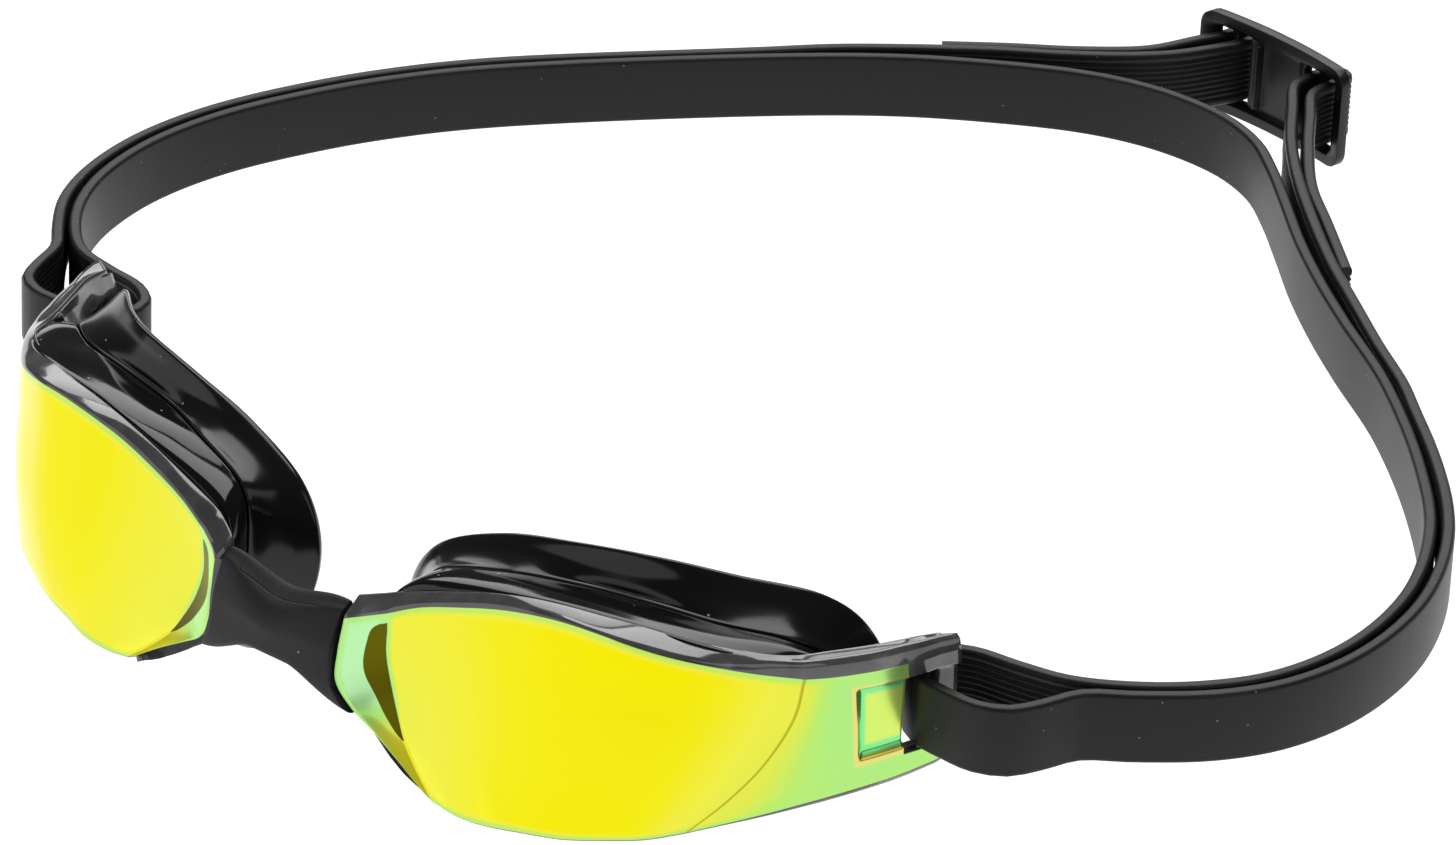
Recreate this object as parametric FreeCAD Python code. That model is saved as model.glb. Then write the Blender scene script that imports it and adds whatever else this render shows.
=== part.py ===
# Racing swim goggles: two eye cups, a clip-on nose bridge, one silicone band and a rear buckle.
# Every point below is (across, back, up) in millimetres from the nose corner of the lens rim:
# across grows towards the wearer's left ear, back towards the head, up towards the forehead.
import math
import os

import FreeCAD
import Part
from FreeCAD import Vector

os.makedirs("parts", exist_ok=True)

# ---- driving sizes -----------------------------------------------------------------------
temple_half = 75.6         # from the nose line out to the post the band turns round
loop_depth = 221.0         # from the nose corner back to the buckle
wall_lens = 1.6            # lens sheet
wall_frame = 1.8           # rigid frame behind the lens
wall_gasket = 1.5          # soft gasket
seat_gap = 0.3             # gap between neighbouring rings
lens_clearance = 0.7       # gap between the nose bridge and each lens
band_width = 9.8           # band, up and down
slot_height = band_width + 1.4   # opening in the temple end that takes the band
slot_length = 4.4
post_radius = 1.5          # upright post the band turns round
band_thickness = 1.8
band_gap = 0.6             # air between the two strands that lie side by side
band_height = -7.5         # middle of the band at the temples
band_tilt = 3.36           # degrees the band slopes down to the back of the head
buckle_length = 28.8
buckle_height = band_width + 5.7
buckle_thickness = 3.0
buckle_at = (-6.3, loop_depth, 0) # middle of the buckle in the band's own plane
buckle_turned = -9.5       # degrees the buckle is turned in that plane
bar_width = 1.2            # bar the band folds over
bar_offset = 9.1           # from the buckle's middle to each bar
slot_width = band_thickness + 0.8
nose_to_origin = Vector(0, -111.5, 25.6)   # from the nose corner to the middle of the footprint

# ---- the eye cup, as rings of points read round the cup from the nose --------------------
# each row is one place round the cup: lens edge, rim back, frame seam, gasket lip
cup_rows = [
    ((14.6, 2.4, 1.4), (15.8, 5.5, 3.0), (16.4, 10.5, 4.0), (12.0, 17.0, 3.5)),
    ((27.0, 4.9, 5.4), (28.5, 6.8, 7.4), (26.0, 13.0, 6.8), (22.0, 18.3, 8.3)),
    ((39.4, 5.6, 8.6), (40.0, 8.6, 9.1), (36.0, 16.8, 6.9), (33.0, 20.0, 10.4)),
    ((49.0, 7.4, 8.8), (50.8, 11.3, 8.8), (46.0, 19.1, 7.0), (44.3, 22.6, 11.4)),
    ((58.0, 12.4, 6.4), (59.7, 15.9, 6.8), (54.7, 21.7, 6.3), (52.5, 27.5, 9.8)),
    ((66.2, 22.0, 3.0), (65.6, 24.0, 3.8), (62.0, 26.8, 4.4), (60.4, 34.3, 7.0)),
    ((69.6, 29.0, 0.5), (68.0, 29.5, 0.5), (65.6, 31.5, 0.0), (64.7, 38.5, 1.8)),
    ((69.8, 30.5, -7.5), (68.2, 31.0, -7.0), (66.0, 33.2, -7.0), (66.0, 41.0, -7.0)),
    ((66.6, 25.5, -15.4), (66.4, 27.5, -14.2), (63.5, 30.5, -13.0), (63.6, 37.5, -16.0)),
    ((59.0, 13.2, -17.2), (60.0, 17.0, -17.4), (57.0, 24.0, -15.5), (57.0, 30.0, -20.3)),
    ((51.5, 5.6, -18.6), (51.0, 9.6, -19.0), (49.0, 18.5, -17.0), (47.0, 24.0, -23.2)),
    ((41.0, 1.9, -19.9), (41.0, 5.6, -20.3), (40.0, 15.2, -18.0), (36.0, 19.8, -24.8)),
    ((32.0, 0.2, -19.9), (31.5, 3.8, -20.4), (30.5, 12.6, -18.5), (26.0, 16.4, -25.2)),
    ((23.5, 0.0, -18.4), (22.5, 3.4, -18.4), (22.0, 10.6, -16.5), (16.5, 14.0, -21.5)),
    ((14.6, 0.2, -11.4), (14.8, 3.6, -11.0), (16.4, 9.5, -10.0), (9.6, 15.0, -13.0)),
    ((12.4, 0.8, -4.0), (12.6, 4.0, -3.6), (14.8, 9.7, -3.5), (8.0, 16.0, -4.0)),
]
# lens sheet from the nose edge to the temple: top edge, bottom edge
lens_rows = [
    ((11.2, 0.0, 0.0), (12.9, -1.3, -11.8)),
    ((14.8, 2.7, 1.2), (18.4, -0.4, -15.1)),
    ((20.6, 3.9, 3.5), (25.2, -1.1, -19.5)),
    ((26.6, 4.9, 5.4), (30.5, -0.9, -20.6)),
    ((32.7, 5.5, 7.2), (35.0, -0.5, -20.4)),
    ((39.4, 5.6, 8.8), (40.0, 0.8, -20.3)),
    ((48.2, 6.9, 9.0), (48.0, 3.5, -19.6)),
    ((57.0, 11.4, 6.7), (54.8, 6.6, -18.5)),
    ((63.0, 17.3, 4.6), (59.5, 12.2, -17.5)),
    ((67.0, 23.5, 2.3), (64.0, 19.4, -16.8)),
    ((70.2, 30.0, 1.2), (68.0, 27.6, -16.4)),
    ((72.9, 37.0, 0.6), (71.5, 35.4, -15.9)),
    ((75.4, 43.6, 0.4), (74.4, 42.4, -15.2)),
]


nose_half = 11.2           # the lenses start this far from the nose line
drawn_half, drawn_depth = 75.6, 221.0   # half width and loop depth the points here are drawn at
front_depth = 52.0         # the eye cups and the temple posts lie in front of this depth


def placed(x, y, z=0.0):
    """A drawn point, moved out with the temples and back with the loop."""
    if abs(x) > nose_half:
        wide = (temple_half - nose_half) / (drawn_half - nose_half)
        x = math.copysign(nose_half + (abs(x) - nose_half) * wide, x)
    if y > front_depth:
        y = front_depth + (y - front_depth) * (loop_depth - front_depth) / (drawn_depth - front_depth)
    return Vector(x, y, z)


def points(rows):
    return [placed(*row) for row in rows]


def middle(rows):
    total = Vector()
    for p in rows:
        total = total + p
    return total * (1.0 / len(rows))


def outward(loop, k):
    """Direction away from the cup's middle at place k, square to the loop and to its depth."""
    along = loop[(k + 1) % len(loop)] - loop[k - 1]
    out = along.cross(Vector(0.25, -1, 0))
    out.normalize()
    if out.dot(loop[k] - middle(loop)) < 0:
        out = out * -1
    return out


def moved(loop, out=0.0, back=0.0):
    return [p + outward(loop, k) * out + Vector(0, back, 0) for k, p in enumerate(loop)]


def ring(loops):
    """A closed ring whose cross-section has one corner on each loop of points."""
    edges = []
    for loop in loops:
        curve = Part.BSplineCurve()
        curve.interpolate(loop, PeriodicFlag=True)
        edges.append(curve.toShape())
    faces = [Part.makeRuledSurface(edges[i - 1], edges[i]) for i in range(len(edges))]
    shell = Part.makeShell(faces)
    shell.sewShape()
    solid = Part.makeSolid(shell)
    if solid.Volume < 0:
        solid.reverse()
    return solid


def box(low, high):
    return Part.makeBox(high[0] - low[0], high[1] - low[1], high[2] - low[2], Vector(*low))


def make_lens():
    """Sheet with a wrapped temple end, a wall round the cup, a band slot and an upright post."""
    sections = []
    for k, (top, bottom) in enumerate(lens_rows):
        top, bottom = placed(*top), placed(*bottom)
        ahead = placed(*lens_rows[min(k + 1, len(lens_rows) - 1)][0])
        behind = placed(*lens_rows[max(k - 1, 0)][0])
        inward = (ahead - behind).cross(bottom - top) if k else Vector(0, 1, 0)
        inward.normalize()
        if inward.y < 0:
            inward = inward * -1
        inward = inward * wall_lens
        sections.append(Part.makePolygon([top, bottom, bottom + inward, top + inward, top]))
    sheet = Part.makeLoft(sections, True, True)
    edge, back = points(r[0] for r in cup_rows), points(r[1] for r in cup_rows)
    edge = moved(edge, out=-0.3, back=0.6)
    wall = ring([edge, back, moved(back, out=-wall_lens), moved(edge, out=-wall_lens)])
    x, y = temple_half, 43.0
    slot_top = band_height + slot_height / 2
    slot = box((x - 15, y - 1.6 - slot_length, slot_top - slot_height), (x + 15, y - 1.6, slot_top))
    post = Part.makeCylinder(post_radius, slot_height + 2, Vector(x - 0.8, y, slot_top - slot_height - 1))
    return sheet.cut(slot).fuse([wall, post])


def make_frame():
    front = moved(points(r[1] for r in cup_rows), out=-0.1, back=seat_gap)
    seam = points(r[2] for r in cup_rows)
    return ring([front, seam, moved(seam, out=-wall_frame), moved(front, out=-wall_frame)])


def make_gasket():
    """Soft skirt that flares from the seam to a rolled lip against the face."""
    seam = moved(points(r[2] for r in cup_rows), out=-0.1, back=seat_gap)
    lip = points(r[3] for r in cup_rows)
    return ring([
        seam,
        moved(lip, out=-1.2, back=-2.4),
        lip,
        moved(lip, out=-0.8, back=1.0),
        moved(lip, out=-2.6, back=0.9),
        moved(lip, out=-2.9, back=-1.2),
        moved(seam, out=-wall_gasket),
    ])


def make_bridge():
    """Saddle over the nose, tall where it meets the lenses and slim in the middle."""
    end = 11.0 - lens_clearance
    # across, front, back, top, bottom
    rows = [
        (end, -1.2, 2.6, 0.2, -12.2),
        (end - 1.6, -1.6, 2.8, -0.4, -11.6),
        (end * 0.55, -2.4, 2.4, -1.8, -9.8),
        (end * 0.25, -2.8, 2.0, -2.5, -8.9),
    ]
    rows = rows + [(-x, f, b, t, u) for x, f, b, t, u in reversed(rows)]
    sections = []
    for x, front, back, top, low in rows:
        lean = 1.0
        corners = [(x, front + lean, top), (x, back, top + 0.6), (x, back - 0.4, low + 0.8),
                   (x, front, low), (x, front - 0.4, (top + low) / 2)]
        sections.append(Part.makePolygon([Vector(*c) for c in corners + corners[:1]]))
    return Part.makeLoft(sections, True, False)


# ---- the band, drawn in its own flat plane and tilted afterwards --------------------------
run_points = 12            # points of the band's edge that share one face


def smooth(ctrl, step=1.6):
    """Evenly rounded line through hand-placed points (centripetal Catmull-Rom)."""
    ctrl = [2 * ctrl[0] - ctrl[1]] + ctrl + [2 * ctrl[-1] - ctrl[-2]]
    line = []
    for a, b, c, d in zip(ctrl, ctrl[1:], ctrl[2:], ctrl[3:]):
        t1 = math.sqrt((b - a).Length)
        t2 = t1 + math.sqrt((c - b).Length)
        t3 = t2 + math.sqrt((d - c).Length)
        n = max(2, int((c - b).Length / step))
        for i in range(n):
            t = t1 + (t2 - t1) * i / n
            ab = a * ((t1 - t) / t1) + b * (t / t1)
            bc = b * ((t2 - t) / (t2 - t1)) + c * ((t - t1) / (t2 - t1))
            cd = c * ((t3 - t) / (t3 - t2)) + d * ((t - t2) / (t3 - t2))
            abc = ab * ((t2 - t) / t2) + bc * (t / t2)
            bcd = bc * ((t3 - t) / (t3 - t1)) + cd * ((t - t1) / (t3 - t1))
            line.append(abc * ((t2 - t) / (t2 - t1)) + bcd * ((t - t1) / (t2 - t1)))
    return line + [ctrl[-2]]


def beside(line, distance):
    """The line moved sideways, to its right as it runs."""
    out = []
    for k, p in enumerate(line):
        along = line[min(k + 1, len(line) - 1)] - line[max(k - 1, 0)]
        along.normalize()
        out.append(p + Vector(along.y, -along.x, 0) * distance)
    return out


strand_pitch = band_thickness + band_gap
# inner strand from the right temple round the back of the head to the left temple
inner_right = points([(92.5, 55.6), (99.0, 62.0), (104.0, 70.5), (106.2, 83.0), (103.8, 99.0),
                      (96.0, 115.2), (84.8, 128.8), (66.8, 145.8)])
inner_back = points([(52.0, 156.8), (42.3, 164.4), (32.7, 172.7), (23.5, 181.6), (15.7, 189.0),
                     (8.5, 194.8), (0.5, 198.2), (-8.4, 199.1), (-16.0, 198.2), (-24.0, 195.5),
                     (-34.3, 189.6), (-46.2, 181.0)])
inner_left = points([(-60.0, 167.4), (-85.8, 136.2), (-93.5, 123.5), (-98.5, 112.0), (-102.8, 97.0),
                     (-103.6, 83.0), (-101.0, 70.5), (-96.8, 62.0), (-91.4, 55.6)])
# turn round the temple post, from the outer strand to the inner one
post_turn = points([(89.6, 50.0), (87.6, 44.6), (85.6, 40.6), (82.0, 38.6), (77.2, 38.5), (72.4, 39.2),
                    (69.2, 41.9), (69.3, 46.0), (73.0, 49.0), (79.5, 50.1), (86.0, 51.6)])
# the band leaves the pair and runs to the buckle
to_buckle_right = points([(59.0, 154.8), (49.3, 162.7), (40.0, 170.3), (30.3, 179.2), (21.0, 188.4),
                          (12.4, 198.2), (5.6, 208.0)])
to_buckle_left = points([(-55.6, 176.6), (-48.6, 183.6), (-37.8, 193.2), (-30.0, 199.0), (-23.0, 205.4),
                         (-18.0, 211.6)])
# through one side of the buckle and back, measured from its bar
buckle_turn = [Vector(bar_offset + x, y, 0) for x, y in (
    (-1.5, -4.8), (-1.85, -1.8), (-1.9, 1.2), (-1.5, 3.0), (0, 3.9), (1.5, 3.0), (1.9, 1.2),
    (1.9, -1.8), (2.5, -4.8))]
tail_right = points([(9.4, 207.6), (14.5, 199.9), (22.5, 190.0), (31.9, 181.1), (44.6, 169.3)])
tail_left = points([(-22.8, 211.2), (-29.6, 203.4), (-38.5, 196.4), (-45.6, 190.2)])


def mirrored(rows):
    return [Vector(-p.x, p.y, p.z) for p in rows]


def at_buckle(rows):
    turn = FreeCAD.Rotation(Vector(0, 0, 1), buckle_turned)
    return [turn.multVec(p) + Vector(*buckle_at) for p in rows]


def band_line():
    outer_right = beside(smooth(inner_right, 8.0), strand_pitch)
    outer_left = beside(smooth(inner_left, 8.0), strand_pitch)
    right = to_buckle_right + at_buckle(buckle_turn) + tail_right
    left = to_buckle_left + at_buckle(mirrored(buckle_turn)) + tail_left
    start = list(reversed(left)) + outer_left + mirrored(post_turn)
    end = post_turn[::-1] + outer_right + right
    whole = start + inner_left[::-1] + inner_back[::-1] + inner_right[::-1] + end
    return start, whole, right


def make_band():
    _, ctrl, _ = band_line()
    line = smooth(ctrl)
    left, right = beside(line, -band_thickness / 2), beside(line, band_thickness / 2)
    edges = [Part.makeLine(left[0], right[0]), Part.makeLine(left[-1], right[-1])]
    for side in (left, right):
        for start in range(0, len(side) - 1, run_points):
            curve = Part.BSplineCurve()
            curve.interpolate(side[start:start + run_points + 1])
            edges.append(curve.toShape())
    outline = Part.Wire(Part.__sortEdges__(edges))
    body = Part.Face(outline).extrude(Vector(0, 0, band_width))
    body.translate(Vector(0, 0, -band_width / 2))
    return body


def make_buckle():
    """Flat plate with two pairs of slots; the band folds over the bar between each pair."""
    h, t, half = buckle_height / 2, buckle_thickness / 2, buckle_length / 2
    plate = box((-half, -t, -h), (half, t, h))
    plate = plate.makeFillet(1.2, [e for e in plate.Edges if abs(e.tangentAt(0).y) > 0.9])
    tall = band_width / 2 + 0.6
    for side in (-1, 1):
        for edge in (-1, 1):
            mid = side * (bar_offset + edge * (bar_width + slot_width) / 2)
            low, high = (mid - slot_width / 2, -5, -tall), (mid + slot_width / 2, 5, tall)
            plate = plate.cut(box(low, high))
    plate.rotate(Vector(), Vector(0, 0, 1), buckle_turned)
    plate.translate(Vector(*buckle_at))
    return plate


def tilt(shape):
    shape.translate(Vector(0, 0, band_height))
    shape.rotate(Vector(0, 45, band_height), Vector(1, 0, 0), -band_tilt)
    return shape


def save(name, shape):
    shape = shape.copy()
    shape.translate(nose_to_origin)
    shape.exportStep("parts/" + name + ".step")
    b = shape.BoundBox
    print(name, "solids", len(shape.Solids), "valid", shape.isValid(), "vol %.0f" % shape.Volume,
          "box x %.1f..%.1f y %.1f..%.1f z %.1f..%.1f" % (b.XMin, b.XMax, b.YMin, b.YMax, b.ZMin, b.ZMax))


def main():
    for name, maker in (("lens", make_lens), ("frame", make_frame), ("gasket", make_gasket)):
        shape = maker()
        save(name + "_right", shape)
        save(name + "_left", shape.mirror(Vector(), Vector(1, 0, 0)))
    save("nose_bridge", make_bridge())
    save("band", tilt(make_band()))
    save("buckle", tilt(make_buckle()))


main()
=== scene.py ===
import math

import bmesh
import bpy
from mathutils import Matrix, Vector


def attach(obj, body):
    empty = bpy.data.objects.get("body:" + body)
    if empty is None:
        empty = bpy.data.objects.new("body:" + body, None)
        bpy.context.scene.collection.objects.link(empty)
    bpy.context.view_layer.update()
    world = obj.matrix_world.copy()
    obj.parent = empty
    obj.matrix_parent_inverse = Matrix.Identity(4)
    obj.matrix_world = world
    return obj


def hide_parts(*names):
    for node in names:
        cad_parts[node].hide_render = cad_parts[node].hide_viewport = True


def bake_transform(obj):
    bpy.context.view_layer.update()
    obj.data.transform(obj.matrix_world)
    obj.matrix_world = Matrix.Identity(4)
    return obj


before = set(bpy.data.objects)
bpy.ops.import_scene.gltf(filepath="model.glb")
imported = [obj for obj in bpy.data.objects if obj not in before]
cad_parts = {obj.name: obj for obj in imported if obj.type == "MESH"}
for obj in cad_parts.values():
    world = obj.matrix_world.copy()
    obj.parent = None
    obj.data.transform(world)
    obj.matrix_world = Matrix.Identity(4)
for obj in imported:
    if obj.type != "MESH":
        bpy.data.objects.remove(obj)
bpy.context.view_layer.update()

# ---- lens, right and left ---------------------------------------------------------------
# A moulded polycarbonate shield with a mirror coat on its face, wrapped round to the temple,
# where a shallow pocket leads to an open slot and the post the band turns round.
# Points are (across, back, up) in millimetres from the nose corner of the lens rim.


nose_depth, nose_height = 111.5, 25.6   # from the middle of the footprint to the nose corner


def at(x, y, z):
    return Vector((x, y - nose_depth, z + nose_height)) / 1000


def smooth_line(ctrl, pieces):
    """A smooth line through given points; pieces(a, b) is the number of steps from a to b."""
    ctrl = [2 * ctrl[0] - ctrl[1]] + ctrl + [2 * ctrl[-1] - ctrl[-2]]
    line = []
    for a, b, c, d in zip(ctrl, ctrl[1:], ctrl[2:], ctrl[3:]):
        t1 = math.sqrt((b - a).length)
        t2 = t1 + math.sqrt((c - b).length)
        t3 = t2 + math.sqrt((d - c).length)
        count = pieces(b, c)
        for i in range(count):
            t = t1 + (t2 - t1) * i / count
            ab = a * ((t1 - t) / t1) + b * (t / t1)
            bc = b * ((t2 - t) / (t2 - t1)) + c * ((t - t1) / (t2 - t1))
            cd = c * ((t3 - t) / (t3 - t2)) + d * ((t - t2) / (t3 - t2))
            abc = ab * ((t2 - t) / t2) + bc * (t / t2)
            bcd = bc * ((t3 - t) / (t3 - t1)) + cd * ((t - t1) / (t3 - t1))
            line.append(abc * ((t2 - t) / (t2 - t1)) + bcd * ((t - t1) / (t2 - t1)))
    return line + [ctrl[-2]]


def span(ctrl, count):
    """An evenly divided smooth line through given points."""
    fine = smooth_line([Vector(p) for p in ctrl], lambda a, b: 12)
    along = [0.0]
    for p, q in zip(fine, fine[1:]):
        along.append(along[-1] + (q - p).length)
    out, k = [], 0
    for i in range(count + 1):
        want = along[-1] * i / count
        while k < len(along) - 2 and along[k + 1] < want:
            k += 1
        f = (want - along[k]) / max(along[k + 1] - along[k], 1e-9)
        out.append(fine[k].lerp(fine[k + 1], min(max(f, 0.0), 1.0)))
    return out


def patch(left, right, top, bottom):
    """Points of a four-sided skin: patch[i][j], i across from left to right, j down."""
    across, down = len(top) - 1, len(left) - 1
    rows = []
    for i in range(across + 1):
        u, column = i / across, []
        for j in range(down + 1):
            v = j / down
            edge = top[i].lerp(bottom[i], v) + left[j].lerp(right[j], u)
            corner = top[0].lerp(top[-1], u).lerp(bottom[0].lerp(bottom[-1], u), v)
            column.append(edge - corner)
        rows.append(column)
    return rows


def ease(t):
    t = min(max(t, 0.0), 1.0)
    return t * t * (3 - 2 * t)


rows_down = 60                   # rows of points from the top edge of the lens to the bottom one
slot_first, slot_last = 13, 47   # rows between which the band slot is open


def down(points, split=None):
    """A border line from the top edge to the bottom one; with split, given slot corners."""
    if split is None:
        return span(points, rows_down)
    a, b, c, d = (Vector(p) for p in split)
    line = [a.lerp(b, j / slot_first) for j in range(slot_first)]
    middle = slot_last - slot_first
    line += [b.lerp(c, j / middle) for j in range(middle)]
    return line + [c.lerp(d, j / (rows_down - slot_last)) for j in range(rows_down - slot_last + 1)]


nose_edge = down([(11.2, 0, 0), (11.0, -1.2, -4.5), (11.1, -1.8, -8.4), (13.2, -1.3, -11.8),
                  (16.3, -1.0, -13.9), (20.5, -1.1, -16.4), (25.0, -1.2, -19.4)])
nose_crease = down([(16.0, 2.9, 1.3), (16.0, 2.9, -0.8), (15.9, 2.7, -4.5), (17.2, 2.2, -9.0),
                    (18.9, 1.4, -12.4), (20.4, 0.7, -14.8), (23.3, -0.3, -17.7), (26.6, -1.2, -20.2)])
temple_crease = down([(67, 23.5, 2.3), (66.4, 22.2, -3.0), (64.4, 18.6, -9), (61.6, 14.8, -13.6),
                      (58.5, 10.8, -17.4)])
pocket_edge = down(None, [(69.6, 28.6, 1.5), (69.3, 29.4, -1.6), (68.9, 30.4, -13.4), (67.2, 26.4, -16.5)])
slot_front = down(None, [(72.7, 36.6, 0.7), (72.5, 37.1, -2.0), (71.9, 36.9, -13.0), (71.3, 35.0, -15.9)])
slot_back = down(None, [(74.4, 41.3, 0.7), (73.9, 41.5, -2.0), (73.4, 41.5, -13.0), (73.2, 40.2, -15.4)])
temple_end = down(None, [(75.2, 44.0, 0.4), (74.9, 44.6, -2.4), (74.5, 44.5, -12.6), (74.0, 42.8, -14.8)])

top_front = span([(16.0, 2.9, 1.3), (20.6, 3.9, 3.5), (26.6, 4.9, 5.4), (32.7, 5.5, 7.2), (39.4, 5.6, 8.8),
                  (44, 6.1, 9.2), (48.2, 6.9, 9.0), (52.7, 9, 7.8), (57, 11.7, 6.6), (63, 17.6, 4.4),
                  (67, 23.5, 2.3)], 64)
bottom_front = span([(26.6, -1.2, -20.2), (30.5, -1.2, -20.7), (34.7, -1, -20.4), (39.8, .8, -20.3),
                     (44.8, 2.5, -20), (50, 4.9, -19.2), (54.7, 7.6, -18.4), (58.5, 10.8, -17.4)], 64)
strips = [
    ("nose", patch(nose_edge, nose_crease,
                   span([(11.2, 0, 0), (13.4, 1.6, 0.5), (16.0, 2.9, 1.3)], 12),
                   span([(25.0, -1.2, -19.4), (25.8, -1.2, -19.8), (26.6, -1.2, -20.2)], 12))),
    ("face", patch(nose_crease, temple_crease, top_front, bottom_front)),
    ("wrap", patch(temple_crease, pocket_edge,
                   span([(67, 23.5, 2.3), (68.4, 26.0, 1.9), (69.6, 28.6, 1.5)], 18),
                   span([(58.5, 10.8, -17.4), (63.2, 18.6, -16.9), (67.2, 26.4, -16.5)], 18))),
    ("pocket", patch(pocket_edge, slot_front,
                     span([(69.6, 28.6, 1.5), (71.3, 32.4, 1.1), (72.7, 36.6, 0.7)], 26),
                     span([(67.2, 26.4, -16.5), (69.4, 30.9, -16.2), (71.3, 35.0, -15.9)], 26))),
    ("slot", patch(slot_front, slot_back,
                   span([(72.7, 36.6, 0.7), (73.7, 39.0, 0.7), (74.4, 41.3, 0.7)], 8),
                   span([(71.3, 35.0, -15.9), (72.3, 37.8, -15.7), (73.2, 40.2, -15.4)], 8))),
    ("tip", patch(slot_back, temple_end,
                  span([(74.4, 41.3, 0.7), (74.9, 42.8, 0.6), (75.2, 44.0, 0.4)], 5),
                  span([(73.2, 40.2, -15.4), (73.7, 41.6, -15.2), (74.0, 42.8, -14.8)], 5))),
]
columns, kinds, share = [], [], []
for kind, cells in strips:
    for i, column in enumerate(cells):
        if columns and i == 0:
            continue
        columns.append(column)
        kinds.append(kind)
        share.append(i / (len(cells) - 1))


def placed(name, data):
    """A new object put in the scene."""
    made = bpy.data.objects.new(name, data)
    bpy.context.scene.collection.objects.link(made)
    return made


def finished(name, bm, outward=True):
    """The object made of a bmesh, with its faces turned outwards, put in the scene."""
    if outward:
        bmesh.ops.recalc_face_normals(bm, faces=bm.faces)
    mesh = bpy.data.meshes.new(name)
    bm.to_mesh(mesh)
    bm.free()
    return placed(name, mesh)


def lens_normals(grid):
    """The direction out of the face at each point of a grid of columns."""
    out = []
    for i in range(len(grid)):
        line = []
        for j in range(len(grid[0])):
            a = grid[min(i + 1, len(grid) - 1)][j] - grid[max(i - 1, 0)][j]
            b = grid[i][min(j + 1, rows_down)] - grid[i][max(j - 1, 0)]
            n = b.cross(a)
            line.append(n.normalized() if n.length > 1e-9 else Vector((0, -1, 0)))
        out.append(line)
    return out


normals = lens_normals(columns)
# hue is how far the coat's colour has moved from deep yellow (0) through green (0.7) to blue (1)
hue, pocket = [], []
for i in range(len(columns)):
    hue_line, pocket_line = [], []
    for j in range(rows_down + 1):
        v, u, deep = j / rows_down, share[i], 0.0
        if kinds[i] == "nose":
            value = 0.78 - 0.6 * ease((v - 0.4) / 0.35) - 0.1 * ease((u - 0.7) / 0.3)
        elif kinds[i] == "face":
            value = 0.24 * (1 - ease(u / 0.55)) + 0.30 * ease((u - 0.72) / 0.28)
            value += 0.05 * math.sin(3 * v)
        elif kinds[i] == "wrap":
            value = 0.36 + 0.28 * ease(u / 0.85) + 0.02 * math.sin(5 * v)
        else:
            value = 0.64
        if kinds[i] in ("pocket", "slot", "tip"):
            away = u * 8.0 if kinds[i] == "pocket" else 8.0
            low = min(j - slot_first + 2.0, slot_last - 2.0 - j) * 0.28
            deep = min(max((min(away - 1.2, low - 0.4) + 1.2) / 2.6, 0.0), 1.0)
        edge = min(v, 1 - v) * 20.0
        if kinds[i] == "nose":
            edge = min(edge, u * 6.0)
        if edge < 0.9 and deep < 0.3:
            value += (0.62 - value) * (1 - ease((edge - 0.25) / 0.65)) * 0.8
        hue_line.append(value)
        pocket_line.append(deep)
    hue.append(hue_line)
    pocket.append(pocket_line)

bulge_height = 2.1                # how far the middle of the face stands off its border
skin_thick, pocket_thick = 1.6, 2.3
pocket_sink = 0.85
face, back_skin = [], []
for i, column in enumerate(columns):
    front_line, back_line = [], []
    for j, p in enumerate(column):
        u, v, n = share[i], j / rows_down, normals[i][j]
        bulge = 0.0
        if kinds[i] == "face":
            bulge = bulge_height * math.sin(math.pi * u ** 1.25) * math.sin(math.pi * v) ** 0.9
        thick = pocket_thick if kinds[i] in ("pocket", "slot", "tip") else skin_thick
        front_line.append(p + n * (bulge - pocket_sink * ease((pocket[i][j] - 0.3) / 0.4)))
        back_line.append(p + n * (bulge - thick))
    face.append(front_line)
    back_skin.append(back_line)

# rim behind the top edge and the bottom edge, from the nose to the temple
top_back = [(11.0, 3.2, 2.0), (13.4, 4.6, 2.5), (15.8, 5.6, 3.2), (22.0, 6.2, 5.4), (28.5, 6.8, 7.5),
            (34.5, 7.5, 9.0), (40, 8.5, 9.6), (45.4, 9.9, 9.5), (50.7, 11.8, 9.1), (55.2, 14.2, 8.0),
            (59.7, 17.2, 7.0), (63.3, 20.6, 5.9), (65.2, 24.0, 4.9), (67.0, 28.4, 4.2), (69.4, 33.6, 3.6),
            (71.4, 38.4, 3.2), (72.4, 43.0, 2.2)]
bottom_back = [(25.0, 2.8, -19.7), (27.0, 3.0, -20.6),
               (31.5, 3.2, -21.4), (36.5, 4.0, -21.4), (41, 5.4, -21.0), (46, 7.2, -20.2), (51, 9.6, -19.5),
               (56, 13.4, -18.4), (60, 17.4, -17.6), (63.6, 22.4, -16.6), (65.8, 27.2, -16.0),
               (68.0, 32.0, -15.6), (70.0, 37.0, -15.2), (71.2, 42.0, -14.4)]


def match(line, guide):
    """Points of line spread the way the columns of guide are spread."""
    steps = [0.0]
    for p, q in zip(guide, guide[1:]):
        steps.append(steps[-1] + (q - p).length)
    parts = 400
    fine = span(line, parts)
    return [fine[round(parts * s / steps[-1])] for s in steps]


back_top = match(top_back, [c[0] for c in columns])
back_bottom = match(bottom_back, [c[-1] for c in columns])
# the nose side of the rim runs back from the nose edge to the frame
back_nose = down([(11.0, 2.4, 1.0), (11.0, 1.6, -4.5), (11.2, 1.4, -8.4), (13.6, 2.4, -11.9),
                  (16.6, 2.7, -14.3), (20.7, 2.7, -16.9), (25.0, 2.7, -19.3)])


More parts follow.
